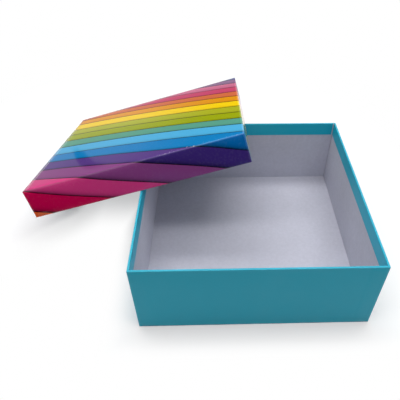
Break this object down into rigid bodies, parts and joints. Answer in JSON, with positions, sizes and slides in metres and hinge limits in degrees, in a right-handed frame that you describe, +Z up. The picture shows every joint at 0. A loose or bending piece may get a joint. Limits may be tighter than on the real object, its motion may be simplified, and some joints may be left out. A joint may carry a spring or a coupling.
{
  "type": "rigid cardboard gift box with lift-off lid",
  "caption": "Square rigid cardboard gift box: a teal paper-covered tray with its shallow rainbow-striped lift-off lid leaning over a corner.",
  "frame": {"origin": "centre of the tray's underside, on the surface the box stands on", "axes": "+Z up out of the tray, +X right along the front wall, +Y from the front wall to the back wall, towards which the lid leans"},
  "size_m": [0.3201, 0.3164, 0.1353],
  "materials": {
    "grey_board": "matt grey-white lined board",
    "teal_paper": "smooth satin coloured paper",
    "rainbow_paper": "glossy paper printed with rainbow stripes",
    "stay_tape": "plain kraft tape"
  },
  "bodies": {
    "root": {"tray_board": "grey_board", "tray_wrap": "teal_paper", "tray_stay_front_left": "stay_tape", "tray_stay_front_right": "stay_tape", "tray_stay_back_left": "stay_tape", "tray_stay_back_right": "stay_tape", "lid_board": "grey_board", "lid_wrap": "rainbow_paper", "lid_stay_front_left": "stay_tape", "lid_stay_front_right": "stay_tape", "lid_stay_back_left": "stay_tape", "lid_stay_back_right": "stay_tape"}
  },
  "joints": []
}
